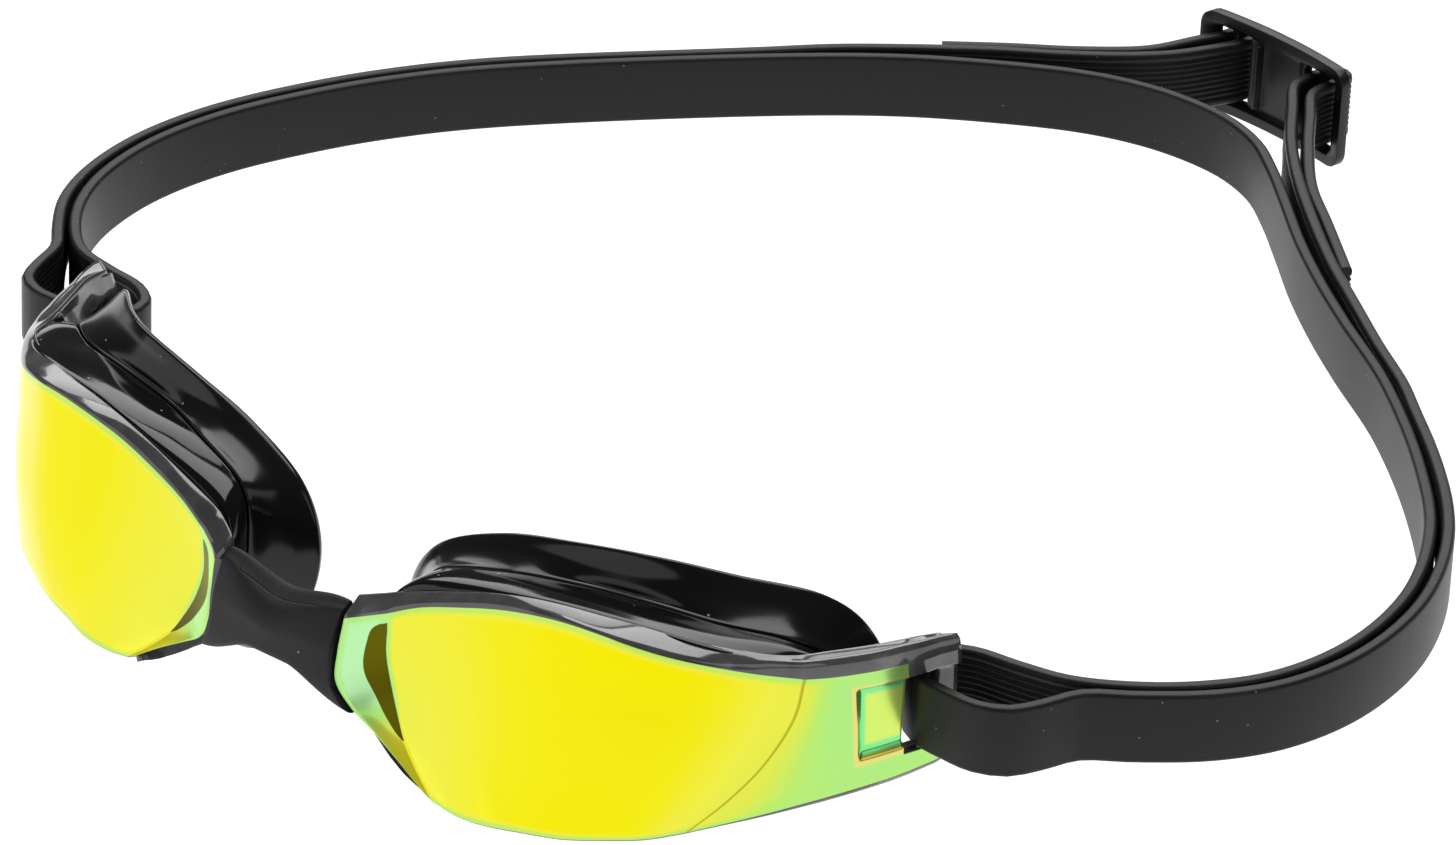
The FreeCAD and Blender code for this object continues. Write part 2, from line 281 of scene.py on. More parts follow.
def raised(front, back, sign):
    """Section of the rim at one place: rounded front corner, flat run, drop on to the frame."""
    up = Vector((0, 0, sign))
    face_height = 0.35 + 1.5 * ease((front.x - 60.0) / 9.0) * (1 if sign > 0 else 0.3)
    run = back - front
    return [
        front + up * 0.25 * face_height + run * 0.01,
        front + up * face_height * 0.8 + run * 0.06,
        front + up * face_height + run * 0.2,
        front.lerp(back, 0.5) + up * face_height * 0.62,
        back + up * 0.12 - run * 0.08,
        back,
        back - up * 0.9,
    ]


def build_lens(side):
    """Front and back skins, slot walls and rims of one lens; material 1 is its uncoated plastic."""
    bm = bmesh.new()
    hue_layer = bm.verts.layers.float.new("hue")
    pocket_layer = bm.verts.layers.float.new("pocket")
    line_layer = bm.verts.layers.float.new("line")
    flip = 1 if side == "right" else -1

    def vert(p, h=0.3, k=0.0, line=0.0):
        q = at(*p)
        v = bm.verts.new((q.x * flip, q.y, q.z))
        v[hue_layer], v[pocket_layer], v[line_layer] = h, k, line
        return v

    def quad(a, b, c, d, material=0):
        corners = []
        for v in (a, b, c, d):
            if v not in corners:
                corners.append(v)
        if len(corners) < 3:
            return
        f = bm.faces.new(corners if flip < 0 else corners[::-1])
        f.smooth = True
        f.material_index = material

    # the line value is 1 along the temple crease, where a painted shade line is laid, and -1 on the nose
    # facet
    mark = [-1.0 if kind == "nose" else float((kind, after) == ("face", "wrap"))
            for kind, after in zip(kinds, kinds[1:] + kinds[-1:])]
    front = [[vert(p, hue[i][j], pocket[i][j], mark[i]) for j, p in enumerate(column)]
             for i, column in enumerate(face)]
    inner = [[vert(p) for p in c] for c in back_skin]
    last = len(columns) - 1
    is_open = [[kinds[i + 1] == "slot" and slot_first <= j < slot_last for j in range(rows_down)]
               for i in range(last)]
    for i in range(last):
        for j in range(rows_down):
            if is_open[i][j]:
                continue
            kind = kinds[i + 1]
            bare = kind in ("slot", "tip") and j < slot_first or kind == "tip" and j < slot_last
            quad(front[i][j], front[i][j + 1], front[i + 1][j + 1], front[i + 1][j], 1 if bare else 0)
            quad(inner[i][j], inner[i + 1][j], inner[i + 1][j + 1], inner[i][j + 1], 1)
    # walls of the slot
    for i in range(last):
        for j in range(rows_down):
            if not is_open[i][j]:
                continue
            if not is_open[i - 1][j]:
                quad(front[i][j], inner[i][j], inner[i][j + 1], front[i][j + 1], 1)
            if i + 1 <= last - 1 and not is_open[i + 1][j]:
                quad(front[i + 1][j], front[i + 1][j + 1], inner[i + 1][j + 1], inner[i + 1][j], 1)
            if j == slot_first:
                quad(front[i][j], front[i + 1][j], inner[i + 1][j], inner[i][j], 1)
            if j == slot_last - 1:
                quad(front[i][j + 1], inner[i][j + 1], inner[i + 1][j + 1], front[i + 1][j + 1], 1)
    # top rim and bottom rim
    for edge, back, sign in ((0, back_top, 1), (rows_down, back_bottom, -1)):
        sections = []
        for i in range(last + 1):
            row = [front[i][edge]]
            row += [vert(p) for p in raised(columns[i][edge], back[i], sign)]
            sections.append(row + [inner[i][edge]])
        for i in range(last):
            for a in range(len(sections[0]) - 1):
                p, q = sections[i], sections[i + 1]
                if sign > 0:
                    quad(p[a], q[a], q[a + 1], p[a + 1], 1)
                else:
                    quad(p[a], p[a + 1], q[a + 1], q[a], 1)
        for row, end in ((sections[0], 0), (sections[-1], 1)):
            order = row if (end == 0) == (sign > 0) else row[::-1]
            f = bm.faces.new(order if flip < 0 else order[::-1])
            f.material_index = 1
    side_wall = [vert(p) for p in back_nose]
    for j in range(rows_down):
        quad(front[0][j], side_wall[j], side_wall[j + 1], front[0][j + 1], 1)
        quad(side_wall[j], inner[0][j], inner[0][j + 1], side_wall[j + 1], 1)
    for j in (0, rows_down):
        quad(front[0][j], side_wall[j], inner[0][j], inner[0][j], 1)
    for j in range(rows_down):
        quad(front[last][j], front[last][j + 1], inner[last][j + 1], inner[last][j], 1)
    return finished("lens_" + side, bm)


# the darker window is a narrow olive patch beside the nose crease: (down, left border)
window_rows = [(0.055, 0.80), (0.065, 0.70), (0.085, 0.62), (0.14, 0.575), (0.24, 0.53), (0.32, 0.55),
               (0.42, 0.62), (0.56, 0.68), (0.63, 0.78), (0.67, 0.94)]


def build_window(side):
    """The darker patch, laid just off the nose columns of the face."""
    bm = bmesh.new()
    stretch = Vector((40, 10, 0))   # brings both shares to like sizes while the border is divided
    nose_columns, across, stand_off, inner_edge = 12, 8, 0.05, 0.985
    flip = 1 if side == "right" else -1
    left = span([(v * stretch.x, u * stretch.y, 0) for v, u in window_rows], 60)
    grid = []
    for p in left:
        v, u0 = p.x / stretch.x * rows_down, p.y / stretch.y
        line = []
        for k in range(across + 1):
            u = (u0 + (inner_edge - u0) * k / across) * nose_columns
            i, j = min(int(u), nose_columns - 1), min(int(v), rows_down - 1)
            a = face[i][j].lerp(face[i + 1][j], u - i)
            b = face[i][j + 1].lerp(face[i + 1][j + 1], u - i)
            q = at(*(a.lerp(b, v - j) + normals[i][j] * stand_off))
            line.append(bm.verts.new((q.x * flip, q.y, q.z)))
        grid.append(line)
    for p, q in zip(grid, grid[1:]):
        for k in range(across):
            f = bm.faces.new([p[k], q[k], q[k + 1], p[k + 1]][::flip])
            f.smooth = True
    bmesh.ops.recalc_face_normals(bm, faces=bm.faces)
    if sum(f.normal.y for f in bm.faces) > 0:
        bmesh.ops.reverse_faces(bm, faces=bm.faces)
    return finished("window_" + side, bm, outward=False)


def fill(node, sockets):
    """Puts constants or the outputs of other nodes into a node's sockets."""
    for name, value in sockets.items():
        if isinstance(value, bpy.types.NodeSocket):
            node.id_data.links.new(value, node.inputs[name])
        else:
            node.inputs[name].default_value = value


def add(nodes, kind, sockets=None, family="ShaderNode", **settings):
    """A new node of a kind, with its settings and what goes into its sockets."""
    node = nodes.new(family + kind)
    for name, value in settings.items():
        setattr(node, name, value)
    fill(node, sockets or {})
    return node


def material(name):
    """A new node material: (material, nodes, its Principled BSDF)."""
    made = bpy.data.materials.new(name)
    made.use_nodes = True
    nodes = made.node_tree.nodes
    nodes.clear()
    output = add(nodes, "OutputMaterial")
    shader = add(nodes, "BsdfPrincipled")
    fill(output, {"Surface": shader.outputs["BSDF"]})
    return made, nodes, shader


def ramp(nodes, source, stops):
    """A colour ramp driven by a source, with (place, colour) stops."""
    node = add(nodes, "ValToRGB", {"Fac": source})
    while len(node.color_ramp.elements) > 1:
        node.color_ramp.elements.remove(node.color_ramp.elements[-1])
    for k, (place, colour) in enumerate(stops):
        stop = node.color_ramp.elements[0] if k == 0 else node.color_ramp.elements.new(place)
        stop.position = place
        stop.color = (*colour, 1) if len(colour) == 3 else colour
    return node


def effect(name, inputs, outputs):
    """An empty shader node group with named sockets: (group, nodes, in node, out node)."""
    group = bpy.data.node_groups.new(name, "ShaderNodeTree")
    for kind, label, value in inputs:
        made = group.interface.new_socket(label, in_out="INPUT", socket_type=kind)
        if value is not None:
            made.default_value = value
    for kind, label in outputs:
        group.interface.new_socket(label, in_out="OUTPUT", socket_type=kind)
    nodes = group.nodes
    return group, nodes, nodes.new("NodeGroupInput"), nodes.new("NodeGroupOutput")


# fine surface grain with a little soft unevenness, as a height
grain, nodes, gin, gout = effect(
    "surface grain",
    [("NodeSocketVector", "Place", None), ("NodeSocketFloat", "Size per metre", 6000.0),
     ("NodeSocketFloat", "Wave share", 0.3)],
    [("NodeSocketFloat", "Height")])
fine = add(nodes, "TexNoise", {
    "Detail": 2.0, "Vector": gin.outputs["Place"], "Scale": gin.outputs["Size per metre"]})
broad = add(nodes, "TexNoise", {"Scale": 220.0, "Vector": gin.outputs["Place"]})
mix = add(nodes, "Mix", {
    "Factor": gin.outputs["Wave share"], "A": fine.outputs["Fac"], "B": broad.outputs["Fac"]})
fill(gout, {"Height": mix.outputs["Result"]})

# scattered dust: small pale specks, as a mask
dust, nodes, gin, gout = effect(
    "dust specks",
    [("NodeSocketVector", "Place", None), ("NodeSocketFloat", "Specks per metre", 420.0),
     ("NodeSocketFloat", "Speck size", 0.07), ("NodeSocketFloat", "Amount", 0.35)],
    [("NodeSocketFloat", "Mask")])
cell = add(nodes, "TexVoronoi", {
    "Vector": gin.outputs["Place"], "Scale": gin.outputs["Specks per metre"]})
near = add(nodes, "Math", {
    0: cell.outputs["Distance"], 1: gin.outputs["Speck size"]}, operation="LESS_THAN")
split_colour = add(nodes, "SeparateColor", {"Color": cell.outputs["Color"]})
some = add(nodes, "Math", {
    0: split_colour.outputs["Red"], 1: gin.outputs["Amount"]}, operation="LESS_THAN")
both = add(nodes, "Math", {0: near.outputs[0], 1: some.outputs[0]}, operation="MULTIPLY")
fill(gout, {"Mask": both.outputs[0]})

# mirror coat: its colour runs with the hue value carried by the lens skin
mirror, nodes, shader = material("mirror coat")
hue_value = add(nodes, "Attribute", attribute_name="hue")
pocket_value = add(nodes, "Attribute", attribute_name="pocket")
place = add(nodes, "TexCoord")
cloud = add(nodes, "TexNoise", {"Scale": 60.0, "Vector": place.outputs["Object"]})
shift = add(nodes, "Math", {
    1: 0.06, 0: cloud.outputs["Fac"], 2: hue_value.outputs["Fac"]}, operation="MULTIPLY_ADD")
coat_colour = ramp(nodes, shift.outputs[0], [
    (0.0, (0.68, 0.61, 0.0)), (0.14, (0.67, 0.62, 0.01)), (0.30, (0.64, 0.63, 0.05)),
    (0.42, (0.55, 0.61, 0.06)), (0.56, (0.38, 0.62, 0.11)), (0.70, (0.32, 0.62, 0.17)),
    (0.82, (0.38, 0.68, 0.34)), (1.0, (0.10, 0.20, 0.60))])
# colour in and round the pocket; its near-black stop, on the wall where the pocket drops, is painted shade
pocket_colour_and_shade = ramp(nodes, pocket_value.outputs["Fac"], [
    (0.0, (0.40, 0.64, 0.12)), (0.10, (0.56, 0.56, 0.16)), (0.32, (0.62, 0.54, 0.16)),
    (0.42, (0.48, 0.42, 0.06)), (0.46, (0.16, 0.15, 0.01)), (0.54, (0.12, 0.42, 0.12)),
    (0.62, (0.16, 0.62, 0.20)), (0.85, (0.20, 0.64, 0.22)), (1.0, (0.50, 0.66, 0.12))])
in_pocket = add(nodes, "MapRange", {
    "From Min": 0.02, "From Max": 0.2, "Value": pocket_value.outputs["Fac"]})
blend_colour = add(nodes, "Mix", {
    "Factor": in_pocket.outputs["Result"], "A": coat_colour.outputs["Color"],
    "B": pocket_colour_and_shade.outputs["Color"]}, data_type="RGBA")
# painted shade: the crease at the temple gets a fine olive line mixed into the coat colour
line_value = add(nodes, "Attribute", attribute_name="line")
crease_shade_mask = add(nodes, "MapRange", {
    "From Min": 0.5, "From Max": 0.85,
    "Value": line_value.outputs["Fac"]}, interpolation_type="SMOOTHSTEP")
crease_shaded_colour = add(nodes, "Mix", {
    "Factor": crease_shade_mask.outputs["Result"], "A": blend_colour.outputs["Result"],
    "B": (0.36, 0.34, 0.02, 1)}, data_type="RGBA")
fill(shader, {"Base Color": crease_shaded_colour.outputs["Result"]})
# painted glow: a faint emission stands in for light that has come through the sheet, more of it at the
# thinly coated nose facet
passing = add(nodes, "MapRange", {
    "From Min": -1.0, "From Max": 0.0, "To Min": 2.4, "To Max": 1.0, "Value": line_value.outputs["Fac"]})
glow = add(nodes, "VectorMath", {
    0: crease_shaded_colour.outputs["Result"], "Scale": passing.outputs["Result"]}, operation="SCALE")
fill(shader, {"Emission Color": glow.outputs[0], "Emission Strength": 0.16})
# the nose facet is coated more thinly, so it looks less like a mirror
facet = add(nodes, "MapRange", {
    "From Min": -1.0, "From Max": 0.0, "To Min": 0.5, "To Max": 1.0, "Value": line_value.outputs["Fac"]})
fill(shader, {"Metallic": facet.outputs["Result"], "Roughness": 0.2})

# uncoated rim of the lens: smoked, glossy, faintly streaked
smoke, nodes, shader = material("smoked lens rim")
place = add(nodes, "TexCoord")
streak = add(nodes, "TexNoise", {
    "Scale": 130.0, "Detail": 4.0, "Distortion": 0.6, "Vector": place.outputs["Object"]})
smoke_colour = ramp(nodes, streak.outputs["Fac"], [
    (0.35, (0.045, 0.045, 0.047)), (0.62, (0.08, 0.08, 0.083)), (0.72, (0.16, 0.16, 0.165))])
fill(shader, {
    "Base Color": smoke_colour.outputs["Color"], "Roughness": 0.12, "Coat Weight": 0.6,
    "Coat Roughness": 0.04})

# olive window by the nose: the same coat, darker
olive, nodes, shader = material("olive window")
place = add(nodes, "TexCoord")
cloud = add(nodes, "TexNoise", {"Scale": 90.0, "Vector": place.outputs["Object"]})
olive_colour = ramp(nodes, cloud.outputs["Fac"], [
    (0.3, (0.10, 0.095, 0.001)), (0.7, (0.13, 0.12, 0.002))])
fill(shader, {
    "Base Color": olive_colour.outputs["Color"], "Metallic": 0.75, "Roughness": 0.3,
    "Specular IOR Level": 0.1})

for side in ("right", "left"):
    lens = build_lens(side)
    lens.data.materials.append(mirror)
    lens.data.materials.append(smoke)
    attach(lens, "pod_" + side)
    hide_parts("lens_" + side)
    window = build_window(side)
    window.data.materials.append(olive)
    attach(window, "pod_" + side)

# ---- frame and gasket of each eye cup ---------------------------------------------------
# The rigid frame is a gloss-black ring glued behind the lens; the soft skirt is moulded on
# to it along a fine seam and flares to a rolled lip that seals on the face.
# one row for each place round the cup: rim back, seam, lip
cup = [
    ((15.8, 5.5, 3.0), (16.4, 10.5, 4.0), (12.0, 17.0, 3.5)),
    ((28.5, 6.8, 7.4), (26.0, 13.0, 6.8), (22.0, 18.3, 8.3)),
    ((40.0, 8.6, 9.1), (36.0, 16.8, 6.9), (33.0, 20.0, 10.4)),
    ((50.8, 11.3, 8.8), (46.0, 19.1, 7.0), (44.3, 22.6, 11.4)),
    ((59.7, 15.9, 6.8), (54.7, 21.7, 6.3), (52.5, 27.5, 9.8)),
    ((65.6, 24.0, 3.8), (62.0, 26.8, 4.4), (60.4, 34.3, 7.0)),
    ((68.0, 29.5, 0.5), (65.6, 31.5, 0.0), (64.7, 38.5, 1.8)),
    ((68.2, 31.0, -7.0), (66.0, 33.2, -7.0), (66.0, 41.0, -7.0)),
    ((66.4, 27.5, -14.2), (63.5, 30.5, -13.0), (63.6, 37.5, -16.0)),
    ((60.0, 17.0, -17.4), (57.0, 24.0, -15.5), (57.0, 30.0, -20.3)),
    ((51.0, 9.6, -19.0), (49.0, 18.5, -17.0), (47.0, 24.0, -23.2)),
    ((41.0, 5.6, -20.3), (40.0, 15.2, -18.0), (36.0, 19.8, -24.8)),
    ((31.5, 3.8, -20.4), (30.5, 12.6, -18.5), (26.0, 16.4, -25.2)),
    ((23.6, 3.4, -16.8), (22.0, 10.6, -16.0), (16.5, 14.0, -21.5)),
    ((14.8, 3.6, -11.0), (16.4, 9.5, -10.0), (9.6, 15.0, -13.0)),
    ((12.6, 4.0, -3.6), (14.8, 9.7, -3.5), (8.0, 16.0, -4.0)),
]
around = 176   # places round the cup at which its section is set


def between(points, i, share):
    """The place a share of the way from point i to the next on a closed smooth line."""
    a, b, c, d = (points[(i + m) % len(points)] for m in (-1, 0, 1, 2))
    return 0.5 * (2 * b + (c - a) * share + (2 * a - 5 * b + 4 * c - d) * share ** 2
                  + (3 * b - a - 3 * c + d) * share ** 3)


def closed(ctrl, count):
    """Evenly stepped smooth closed line through the points."""
    ctrl = [Vector(p) for p in ctrl]
    places = [k / count * len(ctrl) for k in range(count)]
    return [between(ctrl, int(t), t - int(t)) for t in places]


rim_line, seam_line, lip_line = (closed([row[k] for row in cup], around) for k in range(3))


def away(line):
    """At each place round the line, the direction out of the cup."""
    centre = sum(line, Vector()) / len(line)
    out = []
    for k, p in enumerate(line):
        n = (line[(k + 1) % len(line)] - line[k - 1]).cross(Vector((0.25, -1, 0))).normalized()
        out.append(n if n.dot(p - centre) > 0 else -n)
    return out


rim_out, seam_out, lip_out = away(rim_line), away(seam_line), away(lip_line)
rear = Vector((0, 1, 0))


def frame_section(k):
    b, s, o = rim_line[k], seam_line[k], (rim_out[k] + seam_out[k]).normalized()
    return [
        b + rear * 0.35 - o * 0.9, b + rear * 0.3 - o * 0.25, b + rear * 0.6 + o * 0.12,
        b.lerp(s, 0.22) + o * 0.38, b.lerp(s, 0.45) + o * 0.45, b.lerp(s, 0.7) + o * 0.3,
        b.lerp(s, 0.9) + o * 0.08, s - rear * 0.1 - o * 0.05, s - o * 0.35,
        s - o * 1.7, b.lerp(s, 0.5) - o * 1.6, b + rear * 0.4 - o * 1.8,
    ]


def gasket_section(k):
    s, l, so, lo = seam_line[k], lip_line[k], seam_out[k], lip_out[k]
    return [
        s + rear * 0.3 - so * 0.4, s + rear * 0.42 - so * 0.06, s + rear * 0.8 + so * 0.06,
        s.lerp(l, 0.3) - so * 0.35, s.lerp(l, 0.6) - lo * 0.3, s.lerp(l, 0.85) + rear * -0.35 - lo * 0.1,
        l - rear * 0.35 + lo * 0.05, l + rear * 0.15 + lo * 0.02, l + rear * 0.6 - lo * 0.3,
        l + rear * 0.75 - lo * 1.0, l + rear * 0.45 - lo * 1.9, l - rear * 0.5 - lo * 2.7,
        l - rear * 1.7 - lo * 2.6, s.lerp(l, 0.35) - so * 1.9, s + rear * 0.4 - so * 1.6,
    ]


def smooth_section(points):
    """A closed section with two points added between its corners."""
    return [between(points, i, m / 3) for i in range(len(points)) for m in range(3)]


def build_ring(name, section, side):
    """A closed ring swept round the cup, its section given at each place by section(k)."""
    bm = bmesh.new()
    flip = 1 if side == "right" else -1
    rings = []
    for k in range(around):
        line = []
        for p in smooth_section(section(k)):
            q = at(*p)
            line.append(bm.verts.new((q.x * flip, q.y, q.z)))
        rings.append(line)
    for k in range(around):
        a, b = rings[k], rings[(k + 1) % around]
        for i in range(len(a)):
            j = (i + 1) % len(a)
            bm.faces.new([a[i], a[j], b[j], b[i]]).smooth = True
    return finished(name, bm)


def moulded_black(name, base, dusted, roughness, specular, texture, relief, speckling):
    """Black moulding: texture is (size, share of waves), relief (strength, depth) and speckling
    (size, share) of the dust; roughness is the lowest and the highest."""
    made, nodes, shader = material(name)
    place = add(nodes, "TexCoord")
    grained = add(nodes, "Group", {
        "Size per metre": texture[0], "Wave share": texture[1],
        "Place": place.outputs["Object"]}, node_tree=grain)
    specks = add(nodes, "Group", {
        "Speck size": speckling[0], "Amount": speckling[1],
        "Place": place.outputs["Object"]}, node_tree=dust)
    colour = ramp(nodes, specks.outputs["Mask"], [(0.0, base), (1.0, dusted)])
    fill(shader, {"Base Color": colour.outputs["Color"]})
    rough = add(nodes, "MapRange", {
        "To Min": roughness[0], "To Max": roughness[1], "Value": grained.outputs["Height"]})
    fill(shader, {"Roughness": rough.outputs["Result"], "Specular IOR Level": specular})
    bump = add(nodes, "Bump", {
        "Strength": relief[0], "Distance": relief[1], "Height": grained.outputs["Height"]})
    fill(shader, {"Normal": bump.outputs["Normal"]})
    return made


def gloss_black(name, base, roughness, uneven):
    return moulded_black(name, base, (0.30, 0.30, 0.29), (roughness - 0.02, roughness + 0.05), 0.32,
                         (1500.0, 0.8), (uneven, 0.0002), (0.07, 0.25))


frame_black = gloss_black("gloss frame black", (0.006, 0.006, 0.006), 0.07, 0.05)
gasket_black = gloss_black("soft gasket black", (0.008, 0.0075, 0.007), 0.16, 0.08)
for side in ("right", "left"):
    ring = build_ring("frame_ring_" + side, frame_section, side)
    ring.data.materials.append(frame_black)
    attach(ring, "pod_" + side)
    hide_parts("frame_" + side)
    skirt = build_ring("gasket_skirt_" + side, gasket_section, side)
    skirt.data.materials.append(gasket_black)
    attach(skirt, "pod_" + side)
    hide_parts("gasket_" + side)

# ---- nose bridge ------------------------------------------------------------------------
# One matt-black moulded saddle between the lenses, with a leg running down each nose edge
# and a fine line round the panel on its top.
bridge_half = 40   # sections from the middle of the bridge to each end


def bridge_end(z):
    """(across, front, back) of the bridge's end at height z, just clear of the lens edge."""
    points = [(0.6, 10.3, -0.6, 2.7), (-0.5, 10.3, -0.7, 2.7), (-4.5, 10.2, -1.7, 2.2),
              (-8.4, 10.2, -2.3, 2.0), (-11.8, 12.1, -2.0, 1.8), (-13.2, 13.2, -1.8, 1.8)]
    for a, b in zip(points, points[1:]):
        if z >= b[0] or b is points[-1]:
            f = min(max((a[0] - z) / (a[0] - b[0]), 0), 1)
            return [a[i] + (b[i] - a[i]) * f for i in (1, 2, 3)]


def bridge_row(s):
    """Closed section of the bridge at share s of the way from the middle (0) to an end (1)."""
    front, back = -2.9, 2.8
    top = -2.4 + 2.6 * ease(s * 0.98) ** 0.9
    low = -8.9 - 1.2 * s * s - 2.8 * ease((s - 0.3) / 0.7)
    rows = []
    # how far back and how high each corner of the section lies, as shares
    outline = [(0.18, 1.0), (0.5, 1.0), (0.85, 1.0), (1.0, 0.93), (1.0, 0.75), (1.0, 0.5), (0.95, 0.22),
               (0.85, 0.05), (0.6, 0.0), (0.3, 0.0), (0.1, 0.03), (0.0, 0.12), (0.0, 0.3), (0.0, 0.5),
               (0.0, 0.68), (0.0, 0.82), (0.04, 0.92)]
    for depth, height in outline:
        z = low + (top - low) * height
        end_x, end_front, end_back = bridge_end(z)
        near_front = front + (end_front - front) * s ** 1.6
        near_back = back + (end_back - back) * s
        lean = 0.9 * max(0.0, height - 0.7) / 0.3 * (1 - depth)
        rise = (1.2 + 0.9 * (1 - s * s)) * depth * height
        rows.append(Vector((end_x * s, near_front + (near_back - near_front) * depth + lean, z + rise)))
    return rows


bm = bmesh.new()
uv_layer = bm.loops.layers.uv.new("panel")
rings = []
for k in range(-bridge_half, bridge_half + 1):
    s = abs(k) / bridge_half
    section = smooth_section(bridge_row(s))
    rings.append([bm.verts.new(at(p.x * (1 if k >= 0 else -1), p.y, p.z)) for p in section])
for a, b in zip(rings, rings[1:]):
    for i in range(len(a)):
        j = (i + 1) % len(a)
        bm.faces.new([a[i], a[j], b[j], b[i]]).smooth = True
bm.faces.new(rings[0])
bm.faces.new(rings[-1][::-1])
for f in bm.faces:
    for loop in f.loops:
        p = loop.vert.co
        loop[uv_layer].uv = (p.x * 1000, p.y * 1000 + nose_depth)
saddle = finished("bridge_saddle", bm)

# a fine line following a rounded rectangle, as a mask
outline_group, nodes, gin, gout = effect(
    "engraved outline",
    [("NodeSocketVector", "Place", None), ("NodeSocketVector", "Half size less corner", (6.0, 1.2, 0.0)),
     ("NodeSocketFloat", "Corner", 0.6), ("NodeSocketFloat", "Line", 0.12)],
    [("NodeSocketFloat", "Mask")])
size = add(nodes, "VectorMath", {0: gin.outputs["Place"]}, operation="ABSOLUTE")
less = add(nodes, "VectorMath", {
    0: size.outputs[0], 1: gin.outputs["Half size less corner"]}, operation="SUBTRACT")
outside = add(nodes, "VectorMath", {0: less.outputs[0], 1: (0, 0, 0)}, operation="MAXIMUM")
far = add(nodes, "VectorMath", {0: outside.outputs[0]}, operation="LENGTH")
parts = add(nodes, "SeparateXYZ", {0: less.outputs[0]})
widest = add(nodes, "Math", {0: parts.outputs["X"], 1: parts.outputs["Y"]}, operation="MAXIMUM")
within = add(nodes, "Math", {0: widest.outputs[0], 1: 0.0}, operation="MINIMUM")
total = add(nodes, "Math", {0: far.outputs["Value"], 1: within.outputs[0]}, operation="ADD")
off = add(nodes, "Math", {0: total.outputs[0], 1: gin.outputs["Corner"]}, operation="SUBTRACT")
gap = add(nodes, "Math", {0: off.outputs[0]}, operation="ABSOLUTE")
fade = add(nodes, "MapRange", {
    "To Min": 1.0, "To Max": 0.0, "Value": gap.outputs[0],
    "From Max": gin.outputs["Line"]}, interpolation_type="SMOOTHSTEP")
fill(gout, {"Mask": fade.outputs["Result"]})

matt, nodes, shader = material("matt moulded black")
place = add(nodes, "TexCoord")
grained = add(nodes, "Group", {
    "Size per metre": 5200.0, "Wave share": 0.15, "Place": place.outputs["Object"]}, node_tree=grain)
panel = add(nodes, "UVMap", uv_map="panel")
moved = add(nodes, "VectorMath", {1: (0.3, 1.3, 0.0), 0: panel.outputs["UV"]}, operation="SUBTRACT")
line = add(nodes, "Group", {
    "Half size less corner": (7.0, 0.7, 0.0), "Corner": 0.5, "Line": 0.2,
    "Place": moved.outputs[0]}, node_tree=outline_group)
# the line is cut in the top only
facing = add(nodes, "SeparateXYZ", {0: place.outputs["Normal"]})
upward = add(nodes, "Math", {1: 0.45, 0: facing.outputs["Z"]}, operation="GREATER_THAN")
on_top = add(nodes, "Math", {0: line.outputs["Mask"], 1: upward.outputs[0]}, operation="MULTIPLY")
specks = add(nodes, "Group", {"Place": place.outputs["Object"]}, node_tree=dust)
dusty = ramp(nodes, specks.outputs["Mask"], [(0.0, (0.008, 0.008, 0.008)), (1.0, (0.2, 0.2, 0.19))])
lined = add(nodes, "Mix", {
    "Factor": on_top.outputs[0], "A": dusty.outputs["Color"],
    "B": (0.002, 0.002, 0.002, 1)}, data_type="RGBA")
fill(shader, {"Base Color": lined.outputs["Result"], "Roughness": 0.58, "Specular IOR Level": 0.3})
relief = add(nodes, "Math", {0: grained.outputs["Height"], 1: on_top.outputs[0]}, operation="SUBTRACT")
bump = add(nodes, "Bump", {"Strength": 0.35, "Distance": 0.00012, "Height": relief.outputs[0]})
fill(shader, {"Normal": bump.outputs["Normal"]})
saddle.data.materials.append(matt)
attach(saddle, "bridge")
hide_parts("nose_bridge")

# ---- band -------------------------------------------------------------------------------
# One long silicone strap, ribbed along one face: from the left tail through the buckle, down
# the outer left strand, round the temple post, round the back of the head as the inner
# strand, and back the same way on the right. Geometry Nodes sweeps its section along the line.
band_height, band_tilt, band_thick, strand_pitch = -7.5, math.radians(3.36), 1.8, 2.4
buckle_x, buckle_y, buckle_turned = -6.3, 221.0, math.radians(-9.5)


def rounded(ctrl, step=1.6):
    """Smooth line through given points, in steps of about one length."""
    return smooth_line(ctrl, lambda a, b: max(2, int((b - a).length / step)))


def beside(line, distance):
    """The line moved sideways, to its right as it runs."""
    out = []
    for k, p in enumerate(line):
        run = (line[min(k + 1, len(line) - 1)] - line[max(k - 1, 0)]).normalized()
        out.append(p + Vector((run.y, -run.x, 0)) * distance)
    return out


def flat(rows):
    return [Vector((x, y, 0)) for x, y in rows]


def mirrored(rows):
    return [Vector((-p.x, p.y, p.z)) for p in rows]


inner_right = flat([(92.5, 55.6), (99.0, 62.0), (104.0, 70.5), (106.2, 83.0), (103.8, 99.0),
                    (96.0, 115.2), (84.8, 128.8), (66.8, 145.8)])
inner_back = flat([(52.0, 156.8), (42.3, 164.4), (32.7, 172.7), (23.5, 181.6), (15.7, 189.0),
                   (8.5, 194.8), (0.5, 198.2), (-8.4, 199.1), (-16.0, 198.2), (-24.0, 195.5),
                   (-34.3, 189.6), (-46.2, 181.0)])
inner_left = flat([(-60.0, 167.4), (-85.8, 136.2), (-93.5, 123.5), (-98.5, 112.0), (-102.8, 97.0),
                   (-103.6, 83.0), (-101.0, 70.5), (-96.8, 62.0), (-91.4, 55.6)])
post_turn = flat([(89.6, 50.0), (87.6, 44.6), (85.6, 40.6), (82.0, 38.6), (77.2, 38.5), (72.4, 39.2),
                  (68.6, 42.0), (68.8, 46.0), (72.8, 49.0), (79.5, 50.1), (86.0, 51.6)])
to_buckle_right = flat([(59.0, 154.8), (49.3, 162.7), (40.0, 170.3), (30.3, 179.2), (21.0, 188.4),
                        (12.4, 198.2), (5.8, 207.4)])
to_buckle_left = flat([(-55.6, 176.6), (-48.6, 183.6), (-37.8, 193.2), (-30.0, 199.0), (-22.8, 205.4),
                       (-18.2, 211.0)])
